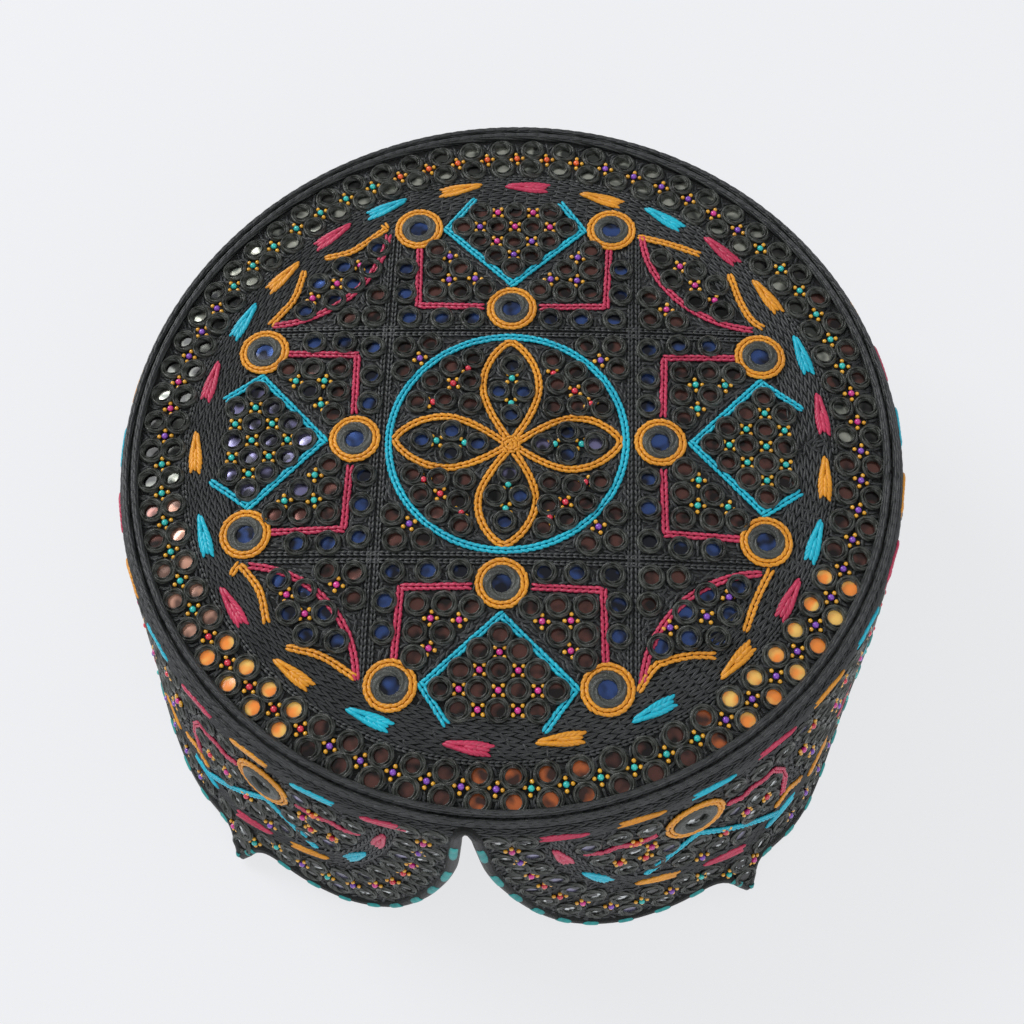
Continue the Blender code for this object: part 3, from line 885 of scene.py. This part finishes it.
def flowerSet(spot, entries, name, spread=1.42):
    # four amber beads round a coloured one, in the gaps between the rings; an entry is a, b and the colour
    small, large = [], {}
    wide = wideOf(spot)
    rings = [(x, y) for x, y, radius in covered[spot] if radius == ringReach]
    for a, b, tone in entries:
        cover(spot, a, b, 1.9)
        x, y = min(rings, key=lambda ring: hypot(ring[0] - a * wide, ring[1] - b))
        spin = atan2(y - b if spot is crownSpot else b - y, x - a * wide) + jitter(0.12)
        base = frameAt(spot, a, b, 1.0, 0.0, 0.75) @ spun(spin)
        large.setdefault(tone, []).append(base)
        for k in range(4):
            angle = pi / 4 + k * pi / 2 + jitter(0.08)
            arm = (spread + jitter(0.08)) / 1000
            small.append(base @ Matrix.Translation((arm * cos(angle), arm * sin(angle), -0.0002)))
    lay(smallBead, small, name + "AmberBeads", beads["amber"], "bead")
    for tone, places in large.items():
        lay(largeBead, places, name + tone.capitalize() + "Beads", beads[tone], "bead")


def byHand(x, y):
    # the work inside the circle leans towards the knot, and less so towards the circle
    share = max(0.0, 1 - (hypot(x, y) / crownWork["circle"]) ** 1.5)
    return x + flowerShift[0] * share, y + flowerShift[1] * share


def everyQuarter(points, mirrored=False):
    # one quarter's places in all four, with their mirror images where the quarter holds half of them
    if mirrored:
        points = points + [(-x, y) for x, y in points]
    return [p for side in quarterTurns(points) for p in side]


def borderSpot(number, outer):
    # the two mirror rows of the border stand in pairs; None is the row of bead flowers between them
    clock = 360 * number / crownWork["borderCount"] + crownWork["borderStart"]
    clock += crownWork["borderDrift"] * exp(-((clock - 262) / 38) ** 2)
    sway = crownWork["borderSway"] * cos(radians(clock - 60))
    radius = crownWork["middleRow"] if outer is None else crownWork["outerRow" if outer else "innerRow"]
    if outer is not False:
        radius += sway
    return radius * sin(radians(clock)), radius * cos(radians(clock))


def toned(places, toneOf=paintedReflectionTone):
    return [(x, y, toneOf(x, y)) for x, y in places]


def makeCrownMirrors():
    lifts = (crownWork["ringLift"], crownWork["glassLift"], 1.0)
    inside = toned(everyQuarter(petalMirrors) + everyQuarter(quadrantMirrors))
    inside = [(*byHand(x, y), tone) for x, y, tone in inside]
    mirrorSet(crownSpot, inside, "flower", lifts, grow=crownWork["flowerGrow"])
    entries = toned(everyQuarter(squareMirrors) + everyQuarter(cellMirrorsIn, True)
                    + everyQuarter(diamondMirrors) + cornerMirrorsFar + cornerMirrorsFarLeft
                    + cornerMirrorsLeft + cornerMirrorsRight)
    entries += toned(everyQuarter(cellMirrorsOut, True), lambda x, y: "blue")
    entries += toned(everyQuarter(cornerMirrorsOut), lambda x, y: "brown")
    mirrorSet(crownSpot, entries, "field", lifts, grow=crownWork["fieldGrow"])
    border = [borderSpot(k, outer) for k in range(crownWork["borderCount"]) for outer in (True, False)]
    mirrorSet(crownSpot, toned(border), "border", lifts)


def makeCrownFlowers():
    entries = [(*byHand(x, y), tone) for x, y, tone in toned(everyQuarter(quarterFlowers), flowerTone)]
    places = everyQuarter(cellFlowers, True) + everyQuarter(diamondFlowers) + cornerFlowers
    places += [borderSpot(k + 0.5, None) for k in range(crownWork["borderCount"])]
    flowerSet(crownSpot, entries + toned(places, flowerTone), "crown")


def chain(spot, lines, thread, name, nodes=(), closed=False, pitch=None, scale=1.0, lift=None):
    # chain stitch along each line, which stands for the nodes
    lift = crownWork["linkLift"] if lift is None else lift
    places = []
    for corners in lines:
        for place in walk(spot, corners, pitch or crownWork["linkPitch"], lift, closed=closed):
            places.append(place @ spun(jitter(0.10)) @ Matrix.Scale(scale * dice.uniform(0.95, 1.05), 4))
    slot = thread + "_thread" if thread in threads else groundSlot[spot]
    lay(linkShape, places, name, threads.get(thread, blackGrain), slot, *nodes)


roundel = {"chain": 4.85, "ringLift": 0.55, "glassLift": 0.35}


def makeRoundels(spot, centres, size, reach, stitch, name, tone, rings, glasses):
    # amber chain stitch round a black ring that holds a large mirror; stitch is its pitch, scale and lift
    loops = [circlePoints(a, b, roundel["chain"] * size, wide=wideOf(spot)) for a, b in centres]
    chain(spot, loops, "amber", name + "Chain", rings, True, *stitch)
    for a, b in centres:
        cover(spot, a, b, reach)
    grow = Matrix.Diagonal((size, size, 1, 1))
    for shape, lift, part, material, slot, nodes in (
            (roundelShape, roundel["ringLift"], "Rings", blackFloss, groundSlot[spot], ()),
            (roundelGlass, roundel["glassLift"], "Glasses", mirrors[tone], "mirror", glasses)):
        places = [frameAt(spot, a, b, 1, 0, lift) @ grow for a, b in centres]
        lay(shape, places, name + part, material, slot, *nodes)


herringbone = {"pitch": 3.0, "lift": 0.30, "shift": 0.9, "jitter": 0.08}


def bandRow(spot, line, number, lean, offset=0.0, closed=False):
    # one row of black stem stitch, which leans one way, and in the next row the other
    row = walk(spot, line, herringbone["pitch"], herringbone["lift"], offset, closed,
               number * herringbone["shift"])
    lean = lean if number % 2 else -lean
    return [place @ spun(lean + jitter(herringbone["jitter"])) for place in row]


def layMarks(marks, name):
    for thread, places in marks.items():
        lay(markShape, places, thread + name, threads[thread], thread + "_thread")


def fillGround(spot, spots, name):
    # short slanting stem stitches that follow the nearest ring or line and fill what is left of the ground
    done = covered[spot]
    tree = KDTree(len(done))
    for i, (x, y, _) in enumerate(done):
        tree.insert((x, y, 0), i)
    tree.balance()
    places = []
    for x, y in spots:
        clear, i = min((distance - done[i][2], i) for _, i, distance in tree.find_n((x, y, 0), 6))
        if clear < 0.05:
            continue
        away = Vector((x - done[i][0], y - done[i][1])).normalized()
        way = Matrix.Rotation(pi / 2 + jitter(0.35), 2) @ away
        size = dice.uniform(0.75, 1.05)
        lift = dice.uniform(0.10, 0.28)
        places.append(frameAt(spot, x / wideOf(spot), y, way.x, way.y, lift) @ Matrix.Scale(size, 4))
    lay(fieldGrain, places, name, blackGrain, groundSlot[spot])
    print("Stitches laid in", name + ":", len(places))


def makeCrownLines():
    sides = range(1, 5)
    circle = circlePoints(0, 0, crownWork["circle"], 90)
    chain(crownSpot, [circle], "teal", "circleChain", ["circle_braid"], True)
    petals = [[byHand(x, y) for x, y in line] for line in quarterTurns(smooth(petal, 5))]
    chain(crownSpot, petals, "amber", "petalChain", [f"petal_braid_{k}" for k in sides])
    knot = [circlePoints(*flowerShift, radius, 12) for radius in (0.5, 1.5)]
    chain(crownSpot, knot, "amber", "knotChain", closed=True, pitch=1.2, scale=0.8, lift=0.8)
    chain(crownSpot, quarterTurns(diamond), "teal", "diamondChain", [f"diamond_braid_{k}" for k in sides])
    chain(crownSpot, quarterTurns(cornerArc), "magenta", "arcChain", [f"arc_braid_{k}" for k in sides])
    brackets = quarterTurns(bracket) + quarterTurns([(-x, y) for x, y in bracket])
    chain(crownSpot, brackets, "magenta", "bracketChain")
    chain(crownSpot, [smooth(line) for line in amberArcs], "amber", "amberArcChain")
    nodes = [[f"crown_{kind}_{s}_{n}" for s in sides for n in (1, 2, 3)] for kind in ("ring", "mirror")]
    makeRoundels(crownSpot, everyQuarter(roundelPlaces), 1.0, 5.4, (1.35, 1.1, 0.8), "roundel", "blue",
                 *nodes)
    # the grid of doubled black chain lines, and one black chain inside the mirror rows
    end = crownWork["gridEnd"]
    lines = []
    for middle in (-crownWork["grid"], crownWork["grid"]):
        for place in (middle - crownWork["gridGap"], middle + crownWork["gridGap"]):
            lines += [[(place, -end), (place, end)], [(-end, place), (end, place)]]
    lines += [circlePoints(0, 0, crownWork["borderLine"], 120)]
    chain(crownSpot, lines, "black", "blackChain", pitch=1.4, scale=0.78, lift=0.30)


def makeBorderBand():
    places = []
    for number in range(crownWork["bandRows"]):
        line = circlePoints(0, 0, crownWork["bandStart"] + crownWork["bandStep"] * number, 150)
        places += bandRow(crownSpot, line, number, 0.16, closed=True)
    lay(grainShape, places, "borderBand", blackGrain, "crown_cloth")
    marks = {"amber": [], "teal": [], "magenta": []}
    for clock, radius, thread in borderMarks:
        angle = radians(clock)
        head = -1 if clock < 130 else 1  # the leaves point to the far side, round either way
        along = (head * cos(angle), -head * sin(angle))
        place = frameAt(crownSpot, radius * sin(angle), radius * cos(angle), *along, 0.72)
        marks[thread].append(place @ spun(jitter(0.06)))
    layMarks(marks, "BorderMarks")


makeCrownMirrors()
makeCrownFlowers()
makeCrownLines()
makeBorderBand()
fieldGrain = makeGrain(2.7, 0.80, 4, 4, "fieldGrain")
pitch = crownWork["groundPitch"]
spots = [(i * pitch + jitter(0.35), j * pitch + jitter(0.35))
         for i in range(-70, 71) for j in range(-70, 71)]
spots = [(x, y) for x, y in spots if hypot(x - 0.05, y - 0.8) < crownWork["groundEdge"]]
fillGround(crownSpot, spots, "crownGround")
print("Crown embroidery done")


# Wall embroidery. Tables hold turn in degrees and reach in millimetres for the right side of the arch.

wallWork = {
    "ringLift": 0.35, "glassLift": 0.30, "ringHeight": 0.65, "tall": 1.12,
    "roundelTurn": 31.2, "roundelStep": 59.52, "roundelReach": 18.7, "roundelScale": 1.25,
    "shoulderRows": (3.4, 4.1, 4.8, 5.5, 6.2, 6.9, 7.6, 8.3, 9.0),
    "lowerOffsets": (-2.6, -1.9, -1.2, -0.5, 0.2, 0.9, 1.6, 2.3), "markLift": 0.55, "shoulderMarks": 7.2,
    "rimRow": {"count": 33, "start": 44.2, "step": 4.12, "upper": 52.4, "lower": 58.4, "flowers": 54.6},
    "gaps": ((50.4, 70.0), (112.8, 129.6), (172.4, 180.0)), "gapStep": 4.1,
    "gapRows": (14.2, 22.4, 30.6, 38.8),
    "groundPitch": 1.8, "groundRow": 1.5, "groundTop": 10, "back": 180.1,
}
lowerBand = [
    (11.0, 8.0), (11.6, 13.0), (12.4, 18.5), (13.8, 25.0), (15.6, 31.0), (17.8, 36.6), (20.6, 40.8),
    (24.5, 43.0), (30.0, 44.4), (36.0, 45.3), (44.0, 46.3), (54.0, 46.8), (70.0, 46.9), (110.0, 46.9),
    (180.0, 46.9),
]
frontMirrors = [
    (4.2, 8.4), (5.0, 18.6), (6.3, 30.6), (8.0, 38.4), (10.0, 46.4), (12.8, 52.4), (16.4, 56.2),
    (20.6, 57.2), (24.9, 55.6), (29.0, 53.4), (7.9, 8.2), (8.6, 16.6), (9.6, 25.0), (11.4, 32.8),
    (13.6, 39.6), (16.2, 45.2), (19.8, 49.4), (23.8, 49.6), (28.0, 48.4), (32.0, 50.2), (36.0, 51.8),
    (40.0, 52.0), (36.0, 57.6), (6.6, 24.6),
]
frontFlowers = [
    (6.0, 13.2, "magenta"), (6.9, 19.8, "purple"), (8.2, 28.8, "magenta"), (9.8, 35.6, "red"),
    (11.7, 43.4, "red"), (14.6, 48.8, "magenta"), (18.2, 53.2, "purple"), (22.2, 53.3, "teal"),
    (26.2, 52.0, "purple"), (30.4, 49.9, "teal"), (34.0, 53.6, "teal"), (38.0, 54.4, "magenta"),
]
fieldMirrors = [
    (16.2, 15.6), (20.5, 14.4), (24.7, 14.6), (37.7, 14.6), (42.2, 15.8), (46.6, 16.8), (17.9, 24.0),
    (22.2, 24.2), (26.8, 28.2), (37.0, 26.6), (40.7, 27.2), (44.0, 27.6), (20.9, 32.2), (24.6, 33.4),
    (39.4, 34.0), (42.9, 35.0), (28.6, 37.4), (33.6, 37.4), (31.2, 32.2), (37.2, 40.0), (27.6, 20.2),
]
fieldFlowers = [
    (20.1, 28.0, "red"), (24.6, 24.0, "magenta"), (38.8, 30.5, "magenta"), (42.4, 31.2, "red"),
    (31.1, 40.2, "purple"), (35.0, 33.4, "red"), (22.6, 19.4, "orange"), (23.6, 28.6, "red"),
]
fieldLines = {
    "teal": [[(23.6, 38.0), (27.4, 31.6), (31.2, 27.0), (37.4, 35.6), (43.6, 45.0)]],
    "magenta": [[(16.0, 19.2), (18.0, 20.4), (20.2, 18.8), (22.6, 20.4), (25.4, 19.0)],
                [(36.6, 20.8), (38.6, 22.2), (40.4, 20.6), (42.4, 21.6), (44.3, 20.8), (45.8, 25.4),
                 (46.3, 31.0), (45.4, 38.0)]],
    "amber": [[(44.2, 41.2), (46.8, 39.6), (49.6, 42.6)]],
}
lowerMarks = [
    (12.5, "magenta"), (16.8, "teal"), (24.6, "amber"), (34.0, "magenta"), (44.4, "teal"),
    (54.6, "amber"),
]
lowerMarks += [(65.0 + 10.4 * k, ("magenta", "teal", "amber")[k % 3]) for k in range(12)]
# One unit of the back, to one side of its roundel: turn from the roundel, and reach; the teal line is whole
unitMirrors = [
    (6.5, 14.6), (10.9, 15.8), (6.0, 26.8), (9.6, 27.4), (12.9, 27.8), (9.2, 34.6), (12.8, 35.4),
    (3.0, 37.6), (18.0, 14.0), (18.4, 22.4), (18.0, 30.8), (18.4, 39.0),
]
unitFlowers = [(7.8, 31.0, "magenta"), (11.4, 31.6, "red")]
unitMagenta = [
    (5.4, 20.8), (7.4, 22.2), (9.2, 20.6), (11.2, 21.6), (13.1, 20.8), (14.6, 25.4), (15.1, 31.0),
    (14.2, 38.0),
]
unitAmber = [(13.0, 41.2), (15.6, 39.6), (18.4, 42.6)]
unitTeal = [(-11.6, 42.4), (-5.6, 34.4), (0, 27.0), (5.6, 34.4), (11.6, 42.4)]


def onBothSides(entries):
    return [e for side in (1, -1) for e in [(side * item[0], *item[1:]) for item in entries]]


def bandOffset(corners, turn):
    for (a, ra), (b, rb) in zip(corners, corners[1:]):
        if a <= turn <= b:
            return ra + (rb - ra) * (turn - a) / (b - a)
    return corners[-1][1]


def backField(centre):
    # the back units repeat the front one's elements on both sides of a roundel
    def moved(entries, side=1):
        return [(centre + side * entry[0], *entry[1:]) for entry in entries]

    found = moved(unitMirrors) + moved(unitMirrors, -1) + [(centre, 32.4), (centre, 41.0)]
    flowers = moved(unitFlowers) + moved(unitFlowers, -1) + [(centre, 36.8, "purple")]
    lines = {"teal": [moved(unitTeal)], "magenta": [moved(unitMagenta), moved(unitMagenta, -1)],
             "amber": [moved(unitAmber), moved(unitAmber, -1)]}
    return found, flowers, lines


def makeWallMirrors():
    places = list(frontMirrors) + list(fieldMirrors)
    flowers = list(frontFlowers) + list(fieldFlowers)
    # two staggered rows below the lower band, round the sides and the back
    row = wallWork["rimRow"]
    for k in range(row["count"]):
        turn = row["start"] + k * row["step"]
        places.append((turn, row["upper"]))
        if k > 0:
            places.append((turn + row["step"] / 2, row["lower"]))
        tone = ("purple", "teal", "red", "magenta")[k // 4 % 4]
        flowers.append((turn + row["step"] / 2, row["flowers"], tone))
    lines = {thread: list(group) for thread, group in fieldLines.items()}
    for unit in (1, 2):
        found, extra, more = backField(wallWork["roundelTurn"] + unit * wallWork["roundelStep"])
        places += found
        flowers += extra
        for thread in lines:
            lines[thread] += more[thread]
    # the stretches between the units
    half = wallWork["gapStep"] / 2
    for turn, end in wallWork["gaps"]:
        number = 0
        while turn < end:
            for line, reach in enumerate(wallWork["gapRows"]):
                shift = half if line % 2 else 0.0
                if turn + shift <= end:
                    places.append((turn + shift, reach))
                    if line < 3 and number % 2 == 0:
                        tone = ("red", "magenta", "purple")[line]
                        flowers.append((turn + half - shift, reach + 4.1, tone))
            turn += wallWork["gapStep"]
            number += 1

    def allRound(entries):
        # on both sides of the arch, up to the middle of the back, where the left side leaves out its last
        kept = onBothSides([entry for entry in entries if entry[0] <= wallWork["back"]])
        return [entry for entry in kept if entry[0] >= -179]

    # most wall glasses are dark with a painted white streak of highlight
    entries = [(a, b, "paintedStreak" if dice.random() < 0.8 else "violet") for a, b in allRound(places)]
    lifts = (wallWork["ringLift"], wallWork["glassLift"], wallWork["ringHeight"])
    mirrorSet(wallSpot, entries, "wall", lifts, wallWork["tall"])
    flowerSet(wallSpot, allRound(flowers), "wall", 1.38)
    for thread, group in lines.items():
        both = group + [[(-a, b) for a, b in line] for line in group]
        chain(wallSpot, both, thread, thread + "WallChain")


def makeWallRoundels():
    centres = [(wallWork["roundelTurn"] + k * wallWork["roundelStep"], wallWork["roundelReach"])
               for k in range(6)]
    nodes = [[f"wall_{kind}_{k}" for k in range(1, 7)] for kind in ("ring", "mirror")]
    makeRoundels(wallSpot, centres, wallWork["roundelScale"], 6.6, (1.45, 1.15, 0.7), "wallRoundel",
                 "paintedStreak", *nodes)


def makeWallBands():
    places = []
    for number, reach in enumerate(wallWork["shoulderRows"]):
        first = 1.2 if reach < 6 else 3.0  # the lower rows stop short of the arch
        line = [(first + k * (360 - 2 * first) / 180, reach) for k in range(181)]
        places += bandRow(wallSpot, line, number, 0.16)
    lay(grainShape, places, "shoulderBand", blackGrain, "wall_cloth")
    places = []
    for side in (1, -1):
        line = [(side * a, b) for a, b in smooth(lowerBand, 5)]
        for number, offset in enumerate(wallWork["lowerOffsets"]):
            places += bandRow(wallSpot, line, number, 0.18, offset)
    lay(grainShape, places, "lowerBand", blackGrain, "wall_cloth")


def makeWallMarks():
    marks = {"amber": [], "teal": [], "magenta": []}
    lift, reach, step = wallWork["markLift"], wallWork["shoulderMarks"], 10.72
    for k in range(16):
        thread = ("magenta", "amber", "teal")[k % 3]
        marks[thread].append(frameAt(wallSpot, 13.2 + step * k, reach, 1, 0, lift))
        if k < 15:
            thread = ("magenta", "teal", "amber")[k % 3]
            marks[thread].append(frameAt(wallSpot, -(11.4 + step * k), reach, -1, 0, lift))
    for side in (1, -1):
        for turn, thread in lowerMarks:
            ahead = bandOffset(lowerBand, turn + 0.5) - bandOffset(lowerBand, turn - 0.5)
            marks[thread].append(frameAt(wallSpot, side * turn, bandOffset(lowerBand, turn),
                                         -side * mmPerDegree, -ahead, lift))
    layMarks(marks, "WallMarks")


makeWallBands()
makeWallMarks()
makeWallRoundels()
makeWallMirrors()
spots = []
pitch, rowPitch = wallWork["groundPitch"], wallWork["groundRow"]
for i in range(int(360 * mmPerDegree / pitch)):
    edge = min(wallEdge, key=lambda point: abs(point.x - i * pitch))
    for j in range(40):
        x, y = i * pitch + jitter(0.5), wallWork["groundTop"] + j * rowPitch + jitter(0.4)
        if y < edge.y - 0.8:
            spots.append((x if x < 180 * mmPerDegree else x - 360 * mmPerDegree, y))
fillGround(wallSpot, spots, "wallGround")
for shape in (fieldGrain, ringShape, roundelShape, glassShape, roundelGlass, smallBead, largeBead,
              linkShape, grainShape, markShape):
    discard(shape)
print("Wall embroidery done")


# Floor, light and camera

studio = {"floor": "#646569", "light": (0.975, 0.985, 1.0, 1.0), "glow": 0.74, "sky": 0.55,
          "key": 10.0, "keySize": 0.55, "keyPlace": (-0.85, 0.52, 0.88),
          "fill": 4.0, "fillSize": 0.9, "fillPlace": (0.55, -1.0, 0.8), "aim": (0, 0, 0.03)}


def makeFloor():
    # pale matt paper: under the cap, and as a low wall far round the table for the low views
    material, tree, shader = startMaterial("paleStudioPaper", studio["floor"], 0.9, {
        "Specular IOR Level": 0.1, "Emission Color": studio["light"], "Emission Strength": studio["glow"]})
    place = addNode(tree, "TexCoord").outputs["Object"]
    tooth = addNode(tree, "TexNoise", {"Scale": 900.0, "Detail": 2.0}, {"Vector": place})
    bump = addNode(tree, "Bump", {"Strength": 0.05, "Distance": 0.0002}, {"Height": tooth})
    tree.links.new(bump.outputs[0], shader.inputs["Normal"])
    startClean()
    bpy.ops.mesh.primitive_plane_add(size=8)
    floor = justAdded("paperFloor")
    startClean()
    bpy.ops.mesh.primitive_cylinder_add(vertices=64, radius=3.9, depth=1.4, end_fill_type="NOTHING",
                                        location=(0, 0, 0.7))
    backdrop = justAdded("paperBackdrop")
    bpy.ops.object.transform_apply(location=True, rotation=False, scale=False)
    shadeSmooth(backdrop, 60)
    for paper in (floor, backdrop):
        paper.data.materials.append(material)


def addSoftbox(name):
    light = bpy.data.lights.new(name + "Softbox", "AREA")
    light.energy = studio[name]
    light.size = studio[name + "Size"]
    box = bpy.data.objects.new(name + "Softbox", light)
    bpy.context.collection.objects.link(box)
    box.location = studio[name + "Place"]
    box.rotation_euler = (Vector(studio["aim"]) - box.location).to_track_quat("-Z", "Y").to_euler()


camera = {"lens": 57.02, "sensor": 36.0, "place": (0.02843, -0.16107, 0.38804),
          "right": (0.99445, 0.09911, -0.03523), "up": (-0.07622, 0.90981, 0.40796),
          "back": (0.07249, -0.40301, 0.91232)}


def makeCamera():
    data = bpy.data.cameras.new("photoCamera")
    data.lens = camera["lens"]
    data.sensor_width = camera["sensor"]
    data.clip_start = 0.01
    viewer = bpy.data.objects.new("photoCamera", data)
    bpy.context.collection.objects.link(viewer)
    turn = Matrix([camera[axis] for axis in ("right", "up", "back")]).transposed().to_4x4()
    viewer.matrix_world = Matrix.Translation(camera["place"]) @ turn
    bpy.context.scene.camera = viewer


bpy.context.scene.view_settings.view_transform = "Standard"  # plain colours, as a product photograph has
world = bpy.context.scene.world or bpy.data.worlds.new("studio")
bpy.context.scene.world = world
world.use_nodes = True
sky = world.node_tree.nodes["Background"]
sky.inputs["Color"].default_value = studio["light"]
sky.inputs["Strength"].default_value = studio["sky"]
makeFloor()
addSoftbox("key")
addSoftbox("fill")
makeCamera()
print("Studio ready")
